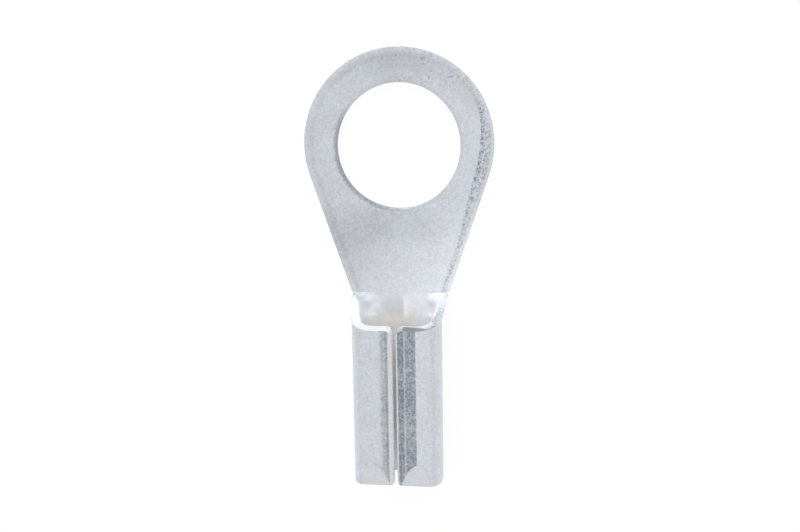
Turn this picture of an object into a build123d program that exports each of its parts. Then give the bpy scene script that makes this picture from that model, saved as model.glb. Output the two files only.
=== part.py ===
"""Uninsulated ring terminal: one flat blank, stamped from tinned copper sheet and rolled up at one end.

The part lies flat as it does on a bench. The origin is the centre of the stud hole on the underside,
+Z points up and the wire barrel points along -Y, away from the ring.
"""
import os
from math import asin, atan2, cos, degrees, hypot, pi, radians, sin, sqrt

from build123d import *

# Sheet and stud hole
sheet = 0.8
hole_radius = 5.25

# Flat ring and tongue
ring_radius = 8.0
ring_offset = 0.15
bend_distance = 12.4
bend_half_width = 4.15
edge_roll_width = 0.7
edge_roll_depth = 0.1
hole_roll_width = 0.35
hole_roll_depth = 0.12

# Rolled wire barrel, measured over the outside of the sheet
barrel_distance = 14.5
barrel_length = 13.7
barrel_half_width = 3.7
barrel_height = 4.8
floor_corner_radius = 2.0
lobe_radius = 1.6
seam_drop = 0.45
seam_gap = 0.16

# Neck, where the flat sheet turns up into the barrel walls
neck_wall_lean = 28
neck_turn_rate = 2.3
neck_bow = 0.08
neck_roll_width = 0.3
neck_stations = 8
first_turn = 0.02
corner_root = 1.0
wall_root = 0.1

# Trim of the two wings
front_recess = 0.2
front_corner = 0.9
front_shear = 17
seam_mouth = 0.28
seam_mouth_length = 3.6
end_corner_radius = 0.3
facet_length = 1.9
facet_drop = 0.27
lip_radius = 0.16
lip_clearance = 0.005

ring_rise = bend_distance + ring_offset
ring_reach = hypot(bend_half_width, ring_rise)
flank_length = sqrt(ring_reach**2 - ring_radius**2)
flank_heading = degrees(atan2(ring_rise, -bend_half_width) - asin(ring_radius / ring_reach))

lobe_x = barrel_half_width - lobe_radius
lobe_z = barrel_height - lobe_radius
side_height = lobe_z - floor_corner_radius
floor_half_width = barrel_half_width - floor_corner_radius
roof_radius = (lobe_x**2 + seam_drop**2) / (2 * seam_drop)
roof_turn = degrees(asin((lobe_x - seam_gap / 2) / roof_radius))
mouth_reach = (seam_mouth - seam_gap) / 2 / sin(radians(roof_turn))
barrel_end = barrel_distance + barrel_length
above_floor = barrel_height / 2


def follow(start, stretches, inset):
    """Draw one face of the bent sheet from the floor's middle; return its end point and heading there.

    Each stretch is its length on the outside of the sheet and the angle it turns through.
    """
    point, heading = Vector(*start), Vector(1, 0)
    for length, turn in stretches:
        if turn == 0:
            piece = Line(point, point + heading * length)
        else:
            piece = JernArc(point, heading, length / radians(turn) - inset, turn)
        point, heading = piece @ 1, piece % 1
    return point, heading


def bent_sheet(stretches, roll_width=0):
    """Draw the closed outline of the bent sheet, symmetrical about its middle.

    Its last stretch may end in an edge that is rolled over on the inside.
    """
    last_length, last_turn = stretches[-1]
    kept = 1 - roll_width / last_length
    with BuildLine() as outline:
        outer_edge, heading = follow((0, 0), stretches, 0)
        inner_edge, _ = follow((0, sheet), stretches[:-1] + [(last_length * kept, last_turn * kept)], sheet)
        cut_depth = sheet - edge_roll_depth if roll_width else sheet
        Polyline(outer_edge, outer_edge + heading.rotate(Axis.Z, 90) * cut_depth, inner_edge)
        mirror(about=Plane.YZ)
    return outline.edges()


def between(first, last, share):
    return first + (last - first) * share


def neck_stretches(progress):
    """Floor, corner, side and lobe stretches of the neck, from the bend line at 0 to the barrel at 1."""
    turned = between(first_turn, 1, 1 - (1 - progress) ** neck_turn_rate)
    corner_turn = 90 * turned
    lobe_turn = neck_wall_lean * turned
    corner = between(corner_root, floor_corner_radius * pi / 2, progress)
    side = between(wall_root, side_height, progress)
    lobe = between(wall_root + edge_roll_width, lobe_radius * radians(neck_wall_lean), progress)
    widest = between(bend_half_width, barrel_half_width, progress) + 4 * neck_bow * progress * (1 - progress)
    widest_turn = min(corner_turn + lobe_turn, 90)
    wall_reach = corner / radians(corner_turn) * sin(radians(corner_turn)) + side * cos(radians(corner_turn))
    wall_reach += lobe / radians(lobe_turn) * (sin(radians(widest_turn)) - sin(radians(corner_turn)))
    return [(widest - wall_reach, 0), (corner, corner_turn), (side, 0), (lobe, lobe_turn)]


def neck_section(progress):
    """Draw one cross-section of the neck, square to the barrel's axis."""
    with BuildSketch(Plane.XZ.offset(between(bend_distance, barrel_distance, progress))) as section:
        make_face(bent_sheet(neck_stretches(progress), between(edge_roll_width, neck_roll_width, progress)))
    return section.sketch


with BuildPart() as ring_terminal:
    # Flat ring and tongue: straight flanks run from the bend line to the ring and touch it tangentially
    with BuildSketch() as blank:
        with BuildLine():
            flank = PolarLine((bend_half_width, -bend_distance), flank_length, flank_heading)
            TangentArc(flank @ 1, (0, ring_offset + ring_radius), tangent=flank % 1)
            mirror(about=Plane.YZ)
            Line((bend_half_width, -bend_distance), (-bend_half_width, -bend_distance))
        make_face()
        Circle(hole_radius, mode=Mode.SUBTRACT)
    extrude(amount=sheet)

    # The blanking punch rolls the upper edges over
    upper_face = ring_terminal.faces().sort_by(Axis.Z)[-1]
    rim_edges = upper_face.outer_wire().edges().sort_by(Axis.Y)[1:]
    chamfer(rim_edges, length=edge_roll_width, length2=edge_roll_depth, reference=upper_face)
    upper_face = ring_terminal.faces().sort_by(Axis.Z)[-1]
    hole_edges = upper_face.inner_wires()[0].edges()
    chamfer(hole_edges, length=hole_roll_width, length2=hole_roll_depth, reference=upper_face)

    # Barrel: floor, sides and two wings that curl over and meet in the seam
    with BuildSketch(Plane.XZ.offset(barrel_distance)):
        make_face(bent_sheet([
            (floor_half_width, 0),
            (floor_corner_radius * pi / 2, 90),
            (side_height, 0),
            (lobe_radius * pi / 2, 90),
            (roof_radius * radians(roof_turn), roof_turn),
        ]))
    extrude(amount=barrel_length)

    # Front edges of the wings fall back from the neck's edges to the seam and are sheared aslant
    neck_edge_x = lobe_x + lobe_radius * cos(radians(neck_wall_lean))
    neck_edge_z = lobe_z + lobe_radius * sin(radians(neck_wall_lean))
    with BuildSketch(Plane.XY.offset(neck_edge_z)):
        with BuildLine():
            wing_front = Line((neck_edge_x, -barrel_distance), (front_corner, -barrel_distance - front_recess))
            seam_start = (0, -barrel_distance - front_recess - front_corner)
            TangentArc(wing_front @ 1, seam_start, tangent=wing_front % 1)
            clear_y = sheet - barrel_distance
            Polyline((neck_edge_x, -barrel_distance), (neck_edge_x, clear_y), (0, clear_y))
            mirror(about=Plane.YZ)
        make_face()
    shear_direction = (0, -sin(radians(front_shear)), cos(radians(front_shear)))
    extrude(amount=above_floor, dir=shear_direction, both=True, mode=Mode.SUBTRACT)

    # The seam opens towards the wire end, where the corners of the wings are rounded
    mouth_bend = (seam_mouth_length**2 + (seam_mouth / 2) ** 2) / seam_mouth
    with BuildSketch(Plane.XY.offset(above_floor)):
        with BuildLine():
            mouth_start = (0, seam_mouth_length - barrel_end)
            mouth = RadiusArc(mouth_start, (seam_mouth / 2, end_corner_radius - barrel_end), -mouth_bend)
            corner = TangentArc(mouth @ 1, (seam_mouth / 2 + end_corner_radius, -barrel_end), tangent=mouth % 1)
            mirror(about=Plane.YZ)
            Line(corner @ 1, (-seam_mouth / 2 - end_corner_radius, -barrel_end))
        make_face()
    extrude(amount=barrel_height, mode=Mode.SUBTRACT)

    # A flat is pressed on top of each lobe at the wire end
    with BuildSketch(Plane.YZ):
        with BuildLine():
            Polyline(
                (facet_length - barrel_end, barrel_height),
                (-barrel_end, barrel_height - facet_drop),
                (-barrel_end, barrel_height),
                close=True,
            )
        make_face()
    extrude(amount=barrel_half_width, both=True, mode=Mode.SUBTRACT)

    # The lips of the seam are rounded over, always wide enough to take in the mouth
    lip_rounding = max(lip_radius, mouth_reach + lip_clearance)
    lips = [
        edge
        for edge in ring_terminal.edges().filter_by(Axis.Y)
        if abs(edge.center().X) < seam_gap and edge.center().Z > barrel_height - seam_drop - lip_rounding
    ]
    fillet(lips, radius=lip_rounding)

    # Neck: the floor narrows while the walls turn up from the bend line and meet the barrel's sides
    loft([neck_section(station / neck_stations) for station in range(neck_stations + 1)])

ring_terminal.part.label = "ring_terminal"
os.makedirs("parts", exist_ok=True)
export_step(ring_terminal.part, "parts/ring_terminal.step")
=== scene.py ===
"""Ring terminal: the tin plate's finish, and the white table, tent, lamp and camera that show it."""
import math

import bmesh
import bpy
from mathutils import Matrix, Vector, kdtree


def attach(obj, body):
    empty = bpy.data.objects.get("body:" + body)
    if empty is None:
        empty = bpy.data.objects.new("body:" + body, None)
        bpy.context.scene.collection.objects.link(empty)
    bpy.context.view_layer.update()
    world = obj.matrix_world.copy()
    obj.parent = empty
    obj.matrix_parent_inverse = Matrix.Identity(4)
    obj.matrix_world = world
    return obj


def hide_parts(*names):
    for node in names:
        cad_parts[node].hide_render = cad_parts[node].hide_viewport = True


bl_info = {
    "name": "Ring terminal",
    "version": (1, 0, 0),
    "blender": (4, 5, 0),
    "location": "View3D > Sidebar > Ring terminal",
    "description": "Finishes a tinned ring terminal and sets it on a white table",
    "category": "Object",
}

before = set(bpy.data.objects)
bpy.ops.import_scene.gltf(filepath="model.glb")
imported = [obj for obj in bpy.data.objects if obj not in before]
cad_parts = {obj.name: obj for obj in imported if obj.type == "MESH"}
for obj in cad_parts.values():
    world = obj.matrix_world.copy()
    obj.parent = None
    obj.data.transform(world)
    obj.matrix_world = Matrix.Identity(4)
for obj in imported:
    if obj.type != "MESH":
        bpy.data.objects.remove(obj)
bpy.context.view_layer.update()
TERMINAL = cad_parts["ring_terminal"]
MM = 0.001


class PlateSettings(bpy.types.PropertyGroup):
    """Colours and textures of the tin plate."""

    tin_colour: bpy.props.FloatVectorProperty(
        name="Tin", description="Colour of the satin tin plate",
        subtype="COLOR", size=3, min=0, max=1, default=(0.60, 0.625, 0.655),
    )
    cool_tin_colour: bpy.props.FloatVectorProperty(
        name="Cool tin", description="Colour of the cooler patches of the plate",
        subtype="COLOR", size=3, min=0, max=1, default=(0.605, 0.635, 0.69),
    )
    # Painted dark reflections and shade use this colour, and so does the grain of the right cut edge.
    shade_and_grain_colour: bpy.props.FloatVectorProperty(
        name="Burnished tin", description="Colour of the plate where a forming tool rubbed it",
        subtype="COLOR", size=3, min=0, max=1, default=(0.22, 0.25, 0.27),
    )
    # Near white, painted as highlight on the cut edges, the seam's lips and the worn edges.
    cut_highlight_colour: bpy.props.FloatVectorProperty(
        name="Cut edge", description="Colour of the bright sheared edges",
        subtype="COLOR", size=3, min=0, max=1, default=(0.92, 0.93, 0.94),
    )
    # Near white, painted inside the neck to stand in for the light that reaches it.
    neck_light_colour: bpy.props.FloatVectorProperty(
        name="Inner tin", description="Colour of the bright tin inside the neck",
        subtype="COLOR", size=3, min=0, max=1, default=(0.96, 0.975, 1.0),
    )
    copper_colour: bpy.props.FloatVectorProperty(
        name="Copper", description="Colour of the thinly tinned copper inside the barrel",
        subtype="COLOR", size=3, min=0, max=1, default=(0.96, 0.93, 0.89),
    )
    # Tint of the painted dark reflections further from the seam.
    violet_reflection_colour: bpy.props.FloatVectorProperty(
        name="Violet tin", description="Colour of the burnished plate further from the seam",
        subtype="COLOR", size=3, min=0, max=1, default=(0.27, 0.29, 0.35),
    )
    facet_colour: bpy.props.FloatVectorProperty(
        name="Pressed flats", description="Colour of the flats pressed on the wire end",
        subtype="COLOR", size=3, min=0, max=1, default=(0.80, 0.805, 0.81),
    )
    # Also painted as shade in the seam's depth.
    seam_colour: bpy.props.FloatVectorProperty(
        name="Seam", description="Colour of the sheared faces that meet in the seam",
        subtype="COLOR", size=3, min=0, max=1, default=(0.48, 0.42, 0.36),
    )
    worn_width: bpy.props.FloatProperty(
        name="Worn edges", description="How far the sharp edges are worn back",
        subtype="DISTANCE", unit="LENGTH", default=0.04 * MM,
    )
    roughness: bpy.props.FloatProperty(
        name="Roughness", description="Roughness of the satin plate",
        subtype="FACTOR", min=0, max=1, default=0.33,
    )
    cloud_size: bpy.props.FloatProperty(
        name="Clouds", description="Width of the broad clouds in the plate's tone",
        subtype="DISTANCE", unit="LENGTH", default=2.2 * MM,
    )
    mottle_size: bpy.props.FloatProperty(
        name="Mottle", description="Width of the plate's mottling",
        subtype="DISTANCE", unit="LENGTH", default=0.3 * MM,
    )
    speck_size: bpy.props.FloatProperty(
        name="Specks", description="Width of the plate's finest specks",
        subtype="DISTANCE", unit="LENGTH", default=0.11 * MM,
    )
    grain_size: bpy.props.FloatProperty(
        name="Grain", description="Width of the grains where a forming tool rubbed the plate",
        subtype="DISTANCE", unit="LENGTH", default=0.11 * MM,
    )


class StageSettings(bpy.types.PropertyGroup):
    """Table, tent, lamp and camera."""

    table_colour: bpy.props.FloatVectorProperty(
        name="Table", description="Colour of the table",
        subtype="COLOR", size=3, min=0, max=1, default=(0.95, 0.95, 0.95),
    )
    table_glow: bpy.props.FloatProperty(
        name="Table glow", description="Share of plain white in the table as the lens and the metal see it",
        subtype="FACTOR", min=0, max=1, default=0.9,
    )
    tent_strength: bpy.props.FloatProperty(
        name="Tent", description="Brightness of the white tent around the table",
        min=0, default=0.9,
    )
    lamp_power: bpy.props.FloatProperty(
        name="Front lamp", description="Power of the soft lamp low beyond the ring, in watts",
        min=0, default=0.1,
    )
    lamp_size: bpy.props.FloatProperty(
        name="Lamp size", description="Width and height of the front lamp",
        subtype="DISTANCE", unit="LENGTH", default=90 * MM,
    )
    lamp_place: bpy.props.FloatVectorProperty(
        name="Lamp place", description="Middle of the front lamp, from the middle of the stud hole",
        subtype="XYZ", size=3, default=(-30 * MM, 150 * MM, 50 * MM),
    )
    camera_right: bpy.props.FloatProperty(
        name="Camera to the right", description="Angle between the view and upright, towards the right",
        subtype="ANGLE", default=math.radians(9.2),
    )
    camera_forward: bpy.props.FloatProperty(
        name="Camera forward", description="Angle between the view and upright, towards the ring",
        subtype="ANGLE", default=math.radians(9.19),
    )
    camera_roll: bpy.props.FloatProperty(
        name="Camera roll", description="Turn of the camera about its own axis",
        subtype="ANGLE", default=math.radians(-0.93),
    )
    camera_distance: bpy.props.FloatProperty(
        name="Camera distance", description="From the middle of the terminal's underside to the lens",
        subtype="DISTANCE", unit="LENGTH", default=94.4 * MM,
    )
    camera_target: bpy.props.FloatVectorProperty(
        name="Camera target", description="Point of the table that the camera looks at",
        subtype="XYZ", size=3, default=(-0.09 * MM, -10.25 * MM, 0),
    )
    focal_length: bpy.props.FloatProperty(
        name="Focal length", description="Focal length of the lens on a sensor 36 mm wide, in millimetres",
        min=1, default=49.74,
    )


# Places of the finish, in millimetres from the middle of the stud hole. A pair is a range's start and end.
HOLE_RADIUS = 5.25
RING_RADIUS = 8.0
RING_CENTRE_Y = 0.15
FLANK_SLANT = math.radians(18.94)
BEND_Y = -12.4
BARREL_Y = -14.5
BARREL_END_Y = -28.2
BARREL_TOP = 4.8
FACET_LENGTH = 1.9
FACET_DROP = 0.27
FLAT_TOP_Z = (0.6, 0.85)
CUT_EDGES_Z = (0.9, 1.2)
ROOF_Z = (4.05, 4.2)
SEAM_Z = (3.3, 4.35)
LIPS_X = (-0.5, 0.28)
SEAM_CORE_X = (-0.72, -0.54)
RIGHT_BAND_X = (0.24, 1.83)
LIGHT_LINE_X = (0.8, 0.96)
FRONT_SHADE_X = (0.3, 1.7)
HIGHLIGHT_STREAK_X = (0.3, 0.72)

# How the sheet's surfaces are told apart
MERGE_DISTANCE = 0.00001 * MM
EDGE_STEP = 0.1 * MM
BEND_CORNER_LENGTH = 1.1
FLAT_ANGLE = math.radians(0.5)
CREASE_ANGLE = math.radians(35)
LEVEL_FACING = 0.999
END_FACING = 0.7

# Gloss and light
EXTRA_ROUGHNESS = 0.4
INNER_SCATTER = 0.3
WAVE_STRENGTH = 0.3
WAVE_HEIGHT = 0.01 * MM
TABLE_HALF_WIDTH = 2
TABLE_ROUGHNESS = 0.9
PLAIN_WHITE = 1.02
LAMP_AIM = Vector((0, -12 * MM, 0))
SENSOR_WIDTH = 36
NEAREST_SEEN = 0.001

# Sockets of a Mix node that blends colours
MIX_SHARE, MIX_FIRST, MIX_SECOND, MIX_RESULT = 0, 6, 7, 2


class Amount:
    """A number that varies over a piece, as the output of a shader node."""

    def __init__(self, finish, socket):
        self.finish = finish
        self.socket = socket

    def __add__(self, other):
        return self.finish.maths("ADD", self, other)

    def __sub__(self, other):
        return self.finish.maths("SUBTRACT", self, other)

    def __rsub__(self, other):
        return self.finish.maths("SUBTRACT", other, self)

    def __mul__(self, other):
        return self.finish.maths("MULTIPLY", self, other)

    __radd__ = __add__
    __rmul__ = __mul__


class Finish:
    """A new material, with short ways to write its formulas as nodes."""

    def __init__(self, name):
        self.material = bpy.data.materials.new(name)
        self.material.use_nodes = True
        self.nodes = self.material.node_tree.nodes
        self.links = self.material.node_tree.links
        self.shader = self.nodes["Principled BSDF"]

    def feed(self, socket, value):
        """Link or set a socket, as the kind of value asks."""
        if isinstance(value, Amount):
            self.links.new(value.socket, socket)
        elif isinstance(value, bpy.types.NodeSocket):
            self.links.new(value, socket)
        else:
            socket.default_value = value

    def add(self, kind, **inputs):
        node = self.nodes.new(kind)
        for name, value in inputs.items():
            self.feed(node.inputs[name], value)
        return node

    def maths(self, operation, *values):
        node = self.nodes.new("ShaderNodeMath")
        node.operation = operation
        for socket, value in zip(node.inputs, values):
            self.feed(socket, value)
        return Amount(self, node.outputs[0])

    def rise(self, value, start, end):
        """Zero up to start, one from end on, and smooth between them."""
        node = self.nodes.new("ShaderNodeMapRange")
        node.interpolation_type = "SMOOTHSTEP"
        for name, part in (("Value", value), ("From Min", start), ("From Max", end)):
            self.feed(node.inputs[name], part)
        return Amount(self, node.outputs["Result"])

    def fall(self, value, start, end):
        """One up to start, zero from end on, and smooth between them."""
        return 1 - self.rise(value, start, end)

    def within(self, value, start, end, soft):
        """One between start and end, and zero outside them, with soft borders."""
        half = soft / 2
        return self.rise(value, start - half, start + half) * self.fall(value, end - half, end + half)

    def size(self, value):
        return self.maths("ABSOLUTE", value)

    def highest(self, first, *others):
        for other in others:
            first = self.maths("MAXIMUM", first, other)
        return first

    def length(self, first, second):
        return self.maths("SQRT", first * first + second * second)

    def blend(self, share, first, second):
        """Colour that goes from first to second as share goes from 0 to 1."""
        node = self.nodes.new("ShaderNodeMix")
        node.data_type = "RGBA"
        self.feed(node.inputs[MIX_SHARE], share)
        self.feed(node.inputs[MIX_FIRST], first)
        self.feed(node.inputs[MIX_SECOND], second)
        return node.outputs[MIX_RESULT]

    def shade(self, colour, tone):
        """Colour made lighter or darker by the factor tone."""
        node = self.nodes.new("ShaderNodeVectorMath")
        node.operation = "SCALE"
        self.feed(node.inputs[0], colour)
        self.feed(node.inputs["Scale"], tone)
        return node.outputs[0]


class TinPlate(Finish):
    """The terminal's tin plate: satin tin, and over it painted highlights, dark reflections and shade, grain,
    the pressed flats and the cut edges.
    """

    def __init__(self, settings):
        super().__init__("tin_plate")
        self.settings = settings
        self.read_place()
        self.read_marks()
        self.mix_textures()
        self.find_regions()
        self.lay_colours()
        self.set_gloss()

    def mark(self, name):
        """A value that is stored on the piece's faces or vertices."""
        node = self.nodes.new("ShaderNodeAttribute")
        node.attribute_name = name
        return Amount(self, node.outputs["Fac"])

    def noise(self, size, detail):
        """Smooth noise around one half, with patches about as wide as size, in millimetres."""
        node = self.add("ShaderNodeTexNoise", Vector=self.place, Scale=1 / size, Detail=detail)
        return Amount(self, node.outputs["Fac"])

    def read_place(self):
        """Read the point on the piece in millimetres, its parts and its distance from the middle line."""
        spot = self.nodes.new("ShaderNodeTexCoord")
        scaled = self.nodes.new("ShaderNodeMapping")
        scaled.inputs["Scale"].default_value = (1 / MM, 1 / MM, 1 / MM)
        self.links.new(spot.outputs["Object"], scaled.inputs["Vector"])
        self.place = scaled.outputs["Vector"]
        parts = self.add("ShaderNodeSeparateXYZ", Vector=self.place)
        self.x, self.y, self.z = (Amount(self, part) for part in parts.outputs)
        self.side = self.size(self.x)

    def read_marks(self):
        """Read what the sheet's operator stored on the faces and vertices."""
        self.upper = self.mark("upper")
        self.sheared = self.mark("sheared")
        self.worn = self.mark("worn")
        self.from_edge = self.mark("from_edge")
        self.cut_height = self.mark("cut_height")

    def mix_textures(self):
        """Make clouds, mottling, specks and salt and pepper grain, each between 0 and 1."""
        self.clouds = self.noise(self.settings.cloud_size / MM, 3.0)
        self.mottle = self.noise(self.settings.mottle_size / MM, 3.0)
        self.specks = self.noise(self.settings.speck_size / MM, 2.0)
        grain_size = self.settings.grain_size / MM
        cells = self.add("ShaderNodeTexVoronoi", Vector=self.place, Scale=1 / grain_size)
        shade = Amount(self, self.add("ShaderNodeSeparateColor", Color=cells.outputs["Color"]).outputs["Red"])
        self.grain = shade * 0.55 + self.rise(self.noise(grain_size * 2, 4.0), 0.35, 0.68) * 0.45

    def find_regions(self):
        """Tell the terminal's parts apart: each region is one inside and zero outside."""
        x, y, z, side = self.x, self.y, self.z, self.side
        self.flat_top = self.within(z, *FLAT_TOP_Z, 0.1) * self.rise(y, BEND_Y - 0.1, BEND_Y + 0.1)
        self.bent = self.fall(y + self.rise(side, 2.4, 3.4) * 0.6, BEND_Y - 0.7, BEND_Y + 0.2)
        self.inner = self.upper * self.bent
        self.corner = self.upper * self.within(y, BEND_Y - 0.8, BEND_Y, 0.1) * self.rise(side, 2.2, 2.8)
        rolled_edge = self.fall(y, BEND_Y - 0.9, BEND_Y - 0.3) * self.fall(self.from_edge, 0.14, 0.26)
        self.rolled = self.upper * rolled_edge
        self.cut_zone = self.within(y, BARREL_Y - 1.5, BEND_Y + 0.05, 0.1) * self.rise(z, *CUT_EDGES_Z)
        self.front = self.fall(y, BARREL_Y - 0.05, BARREL_Y + 0.05)
        self.barrel_top = self.rise(z, *ROOF_Z) * self.fall(y, BARREL_Y - 0.5, BARREL_Y)
        self.lips = self.within(x, *LIPS_X, 0.08) * self.barrel_top
        self.find_facets()

    def find_facets(self):
        """Find the flats pressed on the lobes at the wire end, and the thin rims around them."""
        above = self.z - (self.y - BARREL_END_Y) * (FACET_DROP / FACET_LENGTH) - (BARREL_TOP - FACET_DROP)
        near_end = self.fall(self.y, BARREL_END_Y + FACET_LENGTH, BARREL_END_Y + FACET_LENGTH + 0.15)
        self.facet = self.rise(above, -0.02, -0.002) * near_end
        self.facet_rim = self.within(above, -0.04, -0.005, 0.03) * near_end

    def coat(self, share, colour):
        """Lay a colour over the plate, as thickly as share says."""
        self.colour = self.blend(share, self.colour, (*colour, 1))

    def lay_colours(self):
        """Lay satin tin first, and each other colour over the ones before it."""
        settings = self.settings
        tint = self.rise(self.clouds + (self.mottle - 0.5) * 0.8, 0.35, 0.65)
        satin = self.blend(tint, (*settings.tin_colour, 1), (*settings.cool_tin_colour, 1))
        # Satin tin, with broad painted highlight and shade in its tone.
        self.colour = self.shade(satin, self.satin_and_painted_light_tone())
        # Painted dark reflections and shade, and the grain of the right cut edge.
        self.colour = self.blend(self.shade_and_grain(), self.colour, self.shade_and_grain_tint())
        self.coat(self.facet * (0.15 + self.grain * 0.6), settings.facet_colour)
        self.coat(self.facet_rim * self.grain * 0.3, settings.shade_and_grain_colour)
        # Near white tin inside the neck, painted to stand in for light, with painted highlights and shade.
        self.colour = self.blend(self.inner, self.colour, self.lit_neck_tin())
        # Painted highlights on the cut edges, the seam's lips and the worn edges.
        self.coat(self.cut_and_lip_highlights(), settings.cut_highlight_colour)
        # Painted shade under the right wing's cut front edge.
        self.coat(self.front_edge_shade_line(), settings.shade_and_grain_colour)
        # Painted shade in the seam's depth.
        self.coat(self.seam_faces(), settings.seam_colour)
        self.feed(self.shader.inputs["Base Color"], self.colour)

    def set_gloss(self):
        """Give the plate its satin shine, rougher where it was cut, rolled over, bent or pressed."""
        rough = self.highest(
            self.sheared, self.rolled, self.inner, self.corner, self.facet * 0.5, self.lips
        )
        roughness = self.settings.roughness + (self.mottle - 0.5) * 0.15 + rough * EXTRA_ROUGHNESS
        self.feed(self.shader.inputs["Roughness"], roughness)
        self.feed(self.shader.inputs["Metallic"], 1 - self.inner * INNER_SCATTER)
        waves = self.add("ShaderNodeBump", Height=self.mottle, Strength=WAVE_STRENGTH, Distance=WAVE_HEIGHT)
        self.feed(self.shader.inputs["Normal"], waves.outputs["Normal"])

    def satin_and_painted_light_tone(self):
        """Tone of the satin tin: broad painted highlight and shade, and random clouds, mottling, specks and
        pits.
        """
        tone = self.painted_light_tone() - self.pits() * self.flat_top
        return tone + (self.mottle - 0.5) * 0.35 + (self.specks - 0.5) * 0.45 + (self.clouds - 0.5) * 0.12

    def painted_light_tone(self):
        """Broad painted highlight and shade: painted shade at the ring's top, below the hole and at the
        wing's outer side, and a painted highlight brightest at the tongue's lower right.
        """
        x, y, side = self.x, self.y, self.side
        top = self.rise(y, 3.5, 7.0) * self.fall(side, 2.0, 6.0)
        tongue = self.fall(y, -8.0, -4.0) * self.rise(y, BEND_Y - 2.0, BEND_Y)
        lean = x * 0.034 - (y + 8.0) * 0.042
        below_hole = self.within(y, -8.0, -5.3, 1.5) * self.fall(side, 2.0, 4.5)
        wings = self.fall(y, BARREL_Y - 0.5, BARREL_Y)
        outer_wing = self.rise(x, 1.5, 2.0) * 0.02 - self.rise(x, 2.9, 3.3) * 0.1
        tone = 1.09 + x * 0.005 - top * 0.12 + tongue * lean - below_hole * 0.07
        return tone + wings * (0.02 + outer_wing)

    def pits(self):
        """Tiny dark pits, most of them on the ring's top and towards its upper right."""
        dots = self.rise(self.noise(0.22, 1.0), 0.58, 0.7)
        patches = self.rise(self.noise(1.1, 3.0), 0.4, 0.58)
        where = self.rise(self.y, 1.0, 6.0) * self.rise(self.x, -4.0, 2.0)
        return dots * patches * (0.08 + where * 0.3)

    def shade_and_grain(self):
        """How much painted dark reflection and shade lies on the rim, round the hole and on the roof, and how
        much matt grain on the right cut edge.
        """
        return self.highest(
            self.rim_reflection() * self.flat_top,
            self.roof_reflection() * self.barrel_top * (1 - self.facet),
            self.hole_shade(),
            self.sheared * self.bent * self.rise(self.x, 2.8, 3.2) * (0.05 + self.grain * 0.35),
        )

    def shade_and_grain_tint(self):
        """Dark colour of the painted reflections and shade, and of the grain, that turns violet away from the
        seam.
        """
        violet = self.rise(self.x, 0.8, 1.1) * 0.7 + self.rise(self.mottle, 0.48, 0.6) * 0.3
        settings = self.settings
        return self.blend(violet, (*settings.shade_and_grain_colour, 1), (*settings.violet_reflection_colour, 1))

    def inside_rim(self):
        """How far a point lies inside the round rim of the ring or the straight flanks of the tongue."""
        height = self.y - RING_CENTRE_Y
        on_flank = self.maths("LESS_THAN", height, self.side * -math.tan(FLANK_SLANT))
        across = self.side * math.cos(FLANK_SLANT) - height * math.sin(FLANK_SLANT)
        return RING_RADIUS - on_flank * across - (1 - on_flank) * self.length(self.x, height)

    def rim_reflection(self):
        """Painted dark reflection along the right rim, speckled and darkest at its inner border, and a faint
        painted line elsewhere.
        """
        x, y, inside = self.x, self.y, self.inside_rim()
        right = self.rise(x, 1.5, 5.0) * (1 - self.rise(y, 1.5, 4.5) * 0.7)
        width = 0.65 + self.rise(y, -9.0, -1.0) * 0.5 - self.rise(y, -1.0, 4.5) * 0.55
        from_border = width - inside + (self.mottle - 0.5) * 0.3
        border = self.rise(from_border, -0.06, 0.04) * self.fall(from_border, 0.1, 0.5)
        strip = self.rise(from_border, -0.06, 0.08) * self.rise(inside, 0.1, 0.3)
        coarse = self.rise(self.grain, 0.35, 0.75)
        strip = strip * (self.grain * 0.3 + coarse * 0.35 - 0.04) + border * (0.18 + coarse * 0.3)
        strip = strip * (0.65 + self.rise(y, -7.0, -1.0) * 0.55)
        line = self.within(inside, 0.45, 0.8, 0.3) * (1 - right) * (0.08 + self.grain * 0.12)
        band = self.within(inside, 0.6, 1.7, 0.5) * self.rise(y, 2.0, 4.5) * self.rise(x, -3.5, -1.0)
        return strip * right + line + band * (0.04 + self.rise(self.mottle, 0.5, 0.64) * 0.2)

    def hole_shade(self):
        """Painted shade: a dark line around the stud hole, strongest at the lower left, and a darker wall of
        the hole.
        """
        border = HOLE_RADIUS + 0.26 + self.grain * 0.16
        line = self.fall(self.length(self.x, self.y), HOLE_RADIUS + 0.06, border)
        lower_left = self.fall(self.x + self.y * 0.5, -4.5, -1.5)
        return line * (0.12 + lower_left * (0.2 + self.grain * 0.55))

    def roof_reflection(self):
        """Painted dark reflections in speckled bands on the slopes beside the seam, where the lobes face each
        other.
        """
        x, mottle, coarse = self.x, self.mottle, self.rise(self.grain, 0.2, 0.8)
        uneven = (self.clouds - 0.5) * 0.8 + (mottle - 0.5) * 0.9
        right = 0.53 + coarse * 0.5 + uneven
        right = right * (1 - self.within(x, *LIGHT_LINE_X, 0.12) * 0.5) + self.fall(x, 0.75, 0.85) * 0.08
        right = right * self.within(x, *RIGHT_BAND_X, 0.1)
        left = self.rise(x + (mottle - 0.5) * 0.8, -1.25, -0.95) * self.fall(x, -0.58, -0.48)
        left = left * (0.25 + coarse * 0.35 + uneven * 0.7)
        return right + left + self.within(x, *SEAM_CORE_X, 0.1) * 0.25 + self.shade_behind_front(coarse)

    def shade_behind_front(self, coarse):
        """Speckled painted shade behind the right wing's front edge, which curves back to the seam."""
        inward = self.maths("MAXIMUM", 0.9 - self.x, 0)
        from_front = -BARREL_Y - 0.45 + self.y + inward * inward * 1.1
        front_shade = self.rise(from_front, -1.0, -0.7) * self.rise(coarse, 0.3, 0.7)
        return front_shade * self.within(self.x, *FRONT_SHADE_X, 0.3) * 0.5

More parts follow.
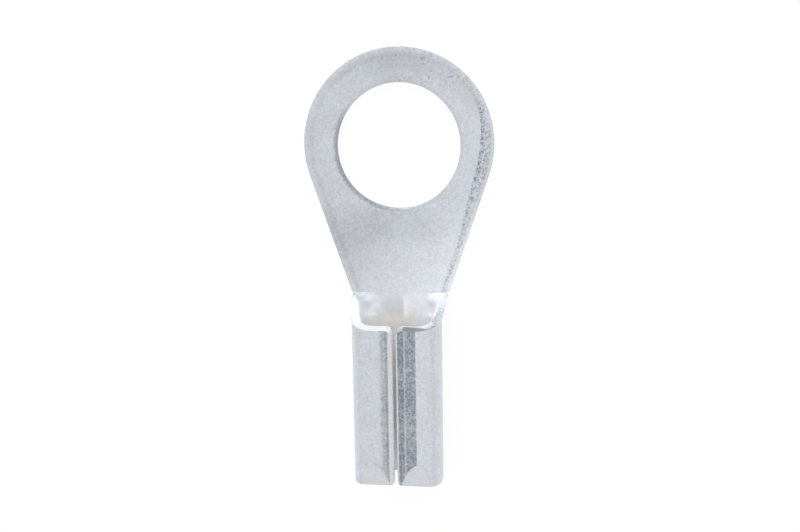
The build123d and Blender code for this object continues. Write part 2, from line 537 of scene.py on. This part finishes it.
    def lit_neck_tin(self):
        """Tin inside the neck, painted near white to stand in for the light there, with a painted darker
        reflection in the middle, painted highlight streaks, painted shade deeper in the barrel and a warm
        copper tint.
        """
        x, y = self.x, self.y
        near = self.rise(y, BARREL_Y - 0.2, BARREL_Y + 0.6)
        # Painted darker reflection in the middle, and painted highlight streaks.
        dark_middle = self.rise(x, -2.6, -1.1) * self.fall(x, 0.2, 0.35) * near
        highlight_streak = self.within(x, *HIGHLIGHT_STREAK_X, 0.08) * self.rise(y, BARREL_Y - 0.4, BARREL_Y)
        slant_highlight = self.within(x + (y + 12.6) * 0.95, -3.2, -2.7, 0.3) * near
        tone = 0.97 - dark_middle * 0.14 + self.highest(highlight_streak, slant_highlight) * 0.05 + (self.mottle - 0.5) * 0.16
        # Painted shade, darker deeper in the barrel.
        tone = tone - self.fall(y, BARREL_Y - 4.0, BARREL_Y - 1.5) * 0.12
        warmth = self.fall(y, BARREL_Y - 0.3, BARREL_Y + 0.7) * self.fall(self.size(x + 0.5), 0.8, 2.6)
        settings = self.settings
        colour = self.blend(warmth, (*settings.neck_light_colour, 1), (*settings.copper_colour, 1))
        return self.shade(colour, tone)

    def cut_and_lip_highlights(self):
        """Near white painted highlights on the cut edges of the neck and the wings, on the lips of the seam
        and on the worn edges.
        """
        low = self.rise(self.x, 0.25, 0.5) * self.fall(self.cut_height, 0.5, 0.7)
        grainy = low * (0.8 + self.grain * 0.2 - self.front * 0.3)
        cuts = self.cut_zone * self.highest(self.rolled, self.sheared * (1 - grainy))
        lips = self.lips * (0.4 + self.rise(self.x, -0.05, 0.05) * 0.3)
        return self.highest(cuts, lips, self.worn * 0.3)

    def front_edge_shade_line(self):
        """Painted shade: a dark line along the outer border of the right wing's cut front edge."""
        outer_border = self.fall(self.cut_height, 0.02, 0.22) * self.rise(self.x, 0.6, 0.8)
        return self.sheared * self.cut_zone * self.front * outer_border * 0.7

    def seam_faces(self):
        """Brown of the sheared copper, darkened as painted shade in the seam's depth, and the tan left face
        of its mouth.
        """
        y, z = self.y, self.z
        depth = self.fall(self.side, 0.1, 0.16) * self.fall(z, 4.2, 4.32) * self.rise(z, 3.3, 3.5)
        mouth = self.fall(y, BARREL_END_Y + 1.5, BARREL_END_Y + 2.5) * self.within(self.x, -0.4, 0.0, 0.02)
        mouth = mouth * self.within(z, *SEAM_Z, 0.05)
        return self.highest(depth * self.fall(y, BARREL_Y - 1.2, BARREL_Y - 0.9), mouth)


class TERMINAL_OT_sheet(bpy.types.Operator):
    """Copy the terminal's sheet, mark its sides and its sheared faces and wear its edges"""

    bl_idname = "terminal.sheet"
    bl_label = "Wear the sheet's edges"

    def execute(self, context):
        work = bmesh.new()
        work.from_mesh(TERMINAL.data)
        bmesh.ops.remove_doubles(work, verts=work.verts, dist=MERGE_DISTANCE)
        bmesh.ops.dissolve_limit(work, angle_limit=FLAT_ANGLE, verts=work.verts, edges=work.edges)
        self.mark_sides(work)
        self.wear(work, context.scene.terminal_plate.worn_width)
        mesh = bpy.data.meshes.new("terminal_sheet")
        work.to_mesh(mesh)
        work.free()
        sheet = bpy.data.objects.new("terminal_sheet", mesh)
        context.scene.collection.objects.link(sheet)
        mesh.set_sharp_from_angle(angle=CREASE_ANGLE)
        weighted = sheet.modifiers.new("even_shading", "WEIGHTED_NORMAL")
        weighted.keep_sharp = True
        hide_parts("ring_terminal")
        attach(sheet, "root")
        return {"FINISHED"}

    def mark_sides(self, work):
        """Store which faces are the sheet's upper side and which are sheared, and where its edges are."""
        upper_mark = work.faces.layers.float.new("upper")
        sheared_mark = work.faces.layers.float.new("sheared")
        upper, under = self.side_of_sheet(work, 1), self.side_of_sheet(work, -1)
        for face in work.faces:
            face[upper_mark] = float(face in upper)
            face[sheared_mark] = float(face not in upper and face not in under)
            face.smooth = True
        self.measure_from_edges(work)
        height_mark = work.verts.layers.float.new("cut_height")
        for vertex in {vertex for face in upper for vertex in face.verts}:
            vertex[height_mark] = 1.0

    def is_sharp(self, edge):
        return len(edge.link_faces) == 2 and edge.calc_face_angle() > CREASE_ANGLE

    def side_of_sheet(self, work, sign):
        """Faces that a finger can reach from the flat ring's upper or under side without crossing an edge."""
        start = max(work.faces, key=lambda face: face.calc_area() * (face.normal.z * sign > LEVEL_FACING))
        found, waiting = {start}, [start]
        while waiting:
            face = waiting.pop()
            for near in {near for edge in face.edges if not self.is_sharp(edge) for near in edge.link_faces}:
                if near not in found and (abs(near.normal.y) < END_FACING or self.is_bend_corner(near)):
                    found.add(near)
                    waiting.append(near)
        return found

    def is_bend_corner(self, face):
        """True for the steep faces inside the bend, where the walls rise from the flat sheet."""
        middle = face.calc_center_median()
        return middle.y > (BEND_Y - BEND_CORNER_LENGTH) * MM and middle.x * face.normal.x < 0

    def measure_from_edges(self, work):
        """Store each vertex's distance from the nearest sharp edge, in millimetres."""
        points = []
        for edge in work.edges:
            if self.is_sharp(edge):
                start, end = (vertex.co for vertex in edge.verts)
                steps = max(1, round((end - start).length / EDGE_STEP))
                points += [start.lerp(end, step / steps) for step in range(steps + 1)]
        tree = kdtree.KDTree(len(points))
        for index, point in enumerate(points):
            tree.insert(point, index)
        tree.balance()
        distance_mark = work.verts.layers.float.new("from_edge")
        for vertex in work.verts:
            _, _, distance = tree.find(vertex.co)
            vertex[distance_mark] = distance / MM

    def wear(self, work, width):
        """Round the sharp edges a little and mark the new faces as worn."""
        mark = work.faces.layers.float.new("worn")
        edges = [edge for edge in work.edges if self.is_sharp(edge)]
        result = bmesh.ops.bevel(
            work, geom=edges, offset=width, offset_type="OFFSET", affect="EDGES", segments=2, profile=0.5,
            clamp_overlap=True, material=-1,
        )
        for face in result["faces"]:
            face[mark] = 1.0
            face.smooth = True


class TERMINAL_OT_plate(bpy.types.Operator):
    """Give the terminal its satin tin plate"""

    bl_idname = "terminal.plate"
    bl_label = "Plate the terminal"

    def execute(self, context):
        plate = TinPlate(context.scene.terminal_plate)
        for piece in (TERMINAL, bpy.data.objects["terminal_sheet"]):
            piece.data.materials.clear()
            piece.data.materials.append(plate.material)
        return {"FINISHED"}


class TERMINAL_OT_stage(bpy.types.Operator):
    """Set the white table, the tent, the lamp and the camera"""

    bl_idname = "terminal.stage"
    bl_label = "Set the stage"

    def execute(self, context):
        settings = context.scene.terminal_stage
        self.lay_table(context, settings)
        self.raise_tent(context, settings)
        self.hang_lamp(context, settings)
        self.place_camera(context, settings)
        context.scene.view_settings.view_transform = "Standard"
        return {"FINISHED"}

    def lay_table(self, context, settings):
        mesh = bpy.data.meshes.new("table")
        work = bmesh.new()
        bmesh.ops.create_grid(work, x_segments=1, y_segments=1, size=TABLE_HALF_WIDTH)
        work.to_mesh(mesh)
        work.free()
        table = bpy.data.objects.new("table", mesh)
        context.scene.collection.objects.link(table)
        mesh.materials.append(self.white_finish(settings).material)

    def white_finish(self, settings):
        """Pale table that turns almost plain white to the lens and to the metal."""
        finish = Finish("white_table")
        finish.shader.inputs["Base Color"].default_value = (*settings.table_colour, 1)
        finish.shader.inputs["Roughness"].default_value = TABLE_ROUGHNESS
        white = finish.add("ShaderNodeEmission", Color=(1, 1, 1, 1), Strength=PLAIN_WHITE)
        path = finish.nodes.new("ShaderNodeLightPath")
        seen = finish.maths("MAXIMUM", path.outputs["Is Camera Ray"], path.outputs["Is Glossy Ray"])
        mix = finish.nodes.new("ShaderNodeMixShader")
        finish.feed(mix.inputs["Fac"], finish.maths("MULTIPLY", seen, settings.table_glow))
        finish.links.new(finish.shader.outputs["BSDF"], mix.inputs[1])
        finish.links.new(white.outputs["Emission"], mix.inputs[2])
        finish.links.new(mix.outputs["Shader"], finish.nodes["Material Output"].inputs["Surface"])
        return finish

    def raise_tent(self, context, settings):
        world = bpy.data.worlds.new("tent")
        context.scene.world = world
        world.use_nodes = True
        nodes, links = world.node_tree.nodes, world.node_tree.links
        backdrop = nodes["Background"]
        backdrop.inputs["Color"].default_value = (1, 1, 1, 1)
        path = nodes.new("ShaderNodeLightPath")
        strength = nodes.new("ShaderNodeMapRange")
        strength.inputs["To Min"].default_value = settings.tent_strength
        strength.inputs["To Max"].default_value = 1
        links.new(path.outputs["Is Camera Ray"], strength.inputs["Value"])
        links.new(strength.outputs["Result"], backdrop.inputs["Strength"])

    def hang_lamp(self, context, settings):
        data = bpy.data.lights.new("front_lamp", "AREA")
        data.size = settings.lamp_size
        data.energy = settings.lamp_power
        lamp = bpy.data.objects.new("front_lamp", data)
        context.scene.collection.objects.link(lamp)
        place = Vector(settings.lamp_place)
        turn = (LAMP_AIM - place).to_track_quat("-Z", "Y").to_matrix()
        lamp.matrix_world = Matrix.Translation(place) @ turn.to_4x4()

    def place_camera(self, context, settings):
        right_lean, forward_lean = settings.camera_right, settings.camera_forward
        back = Vector((
            math.sin(right_lean) * math.cos(forward_lean),
            math.sin(forward_lean),
            math.cos(right_lean) * math.cos(forward_lean),
        ))
        right = Vector((0, 1, 0)).cross(back).normalized()
        up = back.cross(right)
        turn = Matrix((right, up, back)).transposed() @ Matrix.Rotation(settings.camera_roll, 3, "Z")
        data = bpy.data.cameras.new("camera")
        data.sensor_width = SENSOR_WIDTH
        data.lens = settings.focal_length
        data.clip_start = NEAREST_SEEN
        camera = bpy.data.objects.new("camera", data)
        context.scene.collection.objects.link(camera)
        place = Vector(settings.camera_target) + back * settings.camera_distance
        camera.matrix_world = Matrix.Translation(place) @ turn.to_4x4()
        context.scene.camera = camera


class TERMINAL_PT_panel(bpy.types.Panel):
    """Sidebar panel with the terminal's settings and steps"""

    bl_idname = "TERMINAL_PT_panel"
    bl_label = "Ring terminal"
    bl_space_type = "VIEW_3D"
    bl_region_type = "UI"
    bl_category = "Ring terminal"

    def draw(self, context):
        for settings in (context.scene.terminal_plate, context.scene.terminal_stage):
            for name in settings.__annotations__:
                self.layout.prop(settings, name)
        for operator in OPERATORS:
            self.layout.operator(operator.bl_idname)


OPERATORS = (TERMINAL_OT_sheet, TERMINAL_OT_plate, TERMINAL_OT_stage)
CLASSES = (PlateSettings, StageSettings, *OPERATORS, TERMINAL_PT_panel)


def register():
    for item in CLASSES:
        bpy.utils.register_class(item)
    bpy.types.Scene.terminal_plate = bpy.props.PointerProperty(type=PlateSettings)
    bpy.types.Scene.terminal_stage = bpy.props.PointerProperty(type=StageSettings)


def unregister():
    del bpy.types.Scene.terminal_plate
    del bpy.types.Scene.terminal_stage
    for item in reversed(CLASSES):
        bpy.utils.unregister_class(item)


def main():
    register()
    bpy.ops.terminal.sheet()
    bpy.ops.terminal.plate()
    bpy.ops.terminal.stage()


if __name__ == "__main__":
    main()
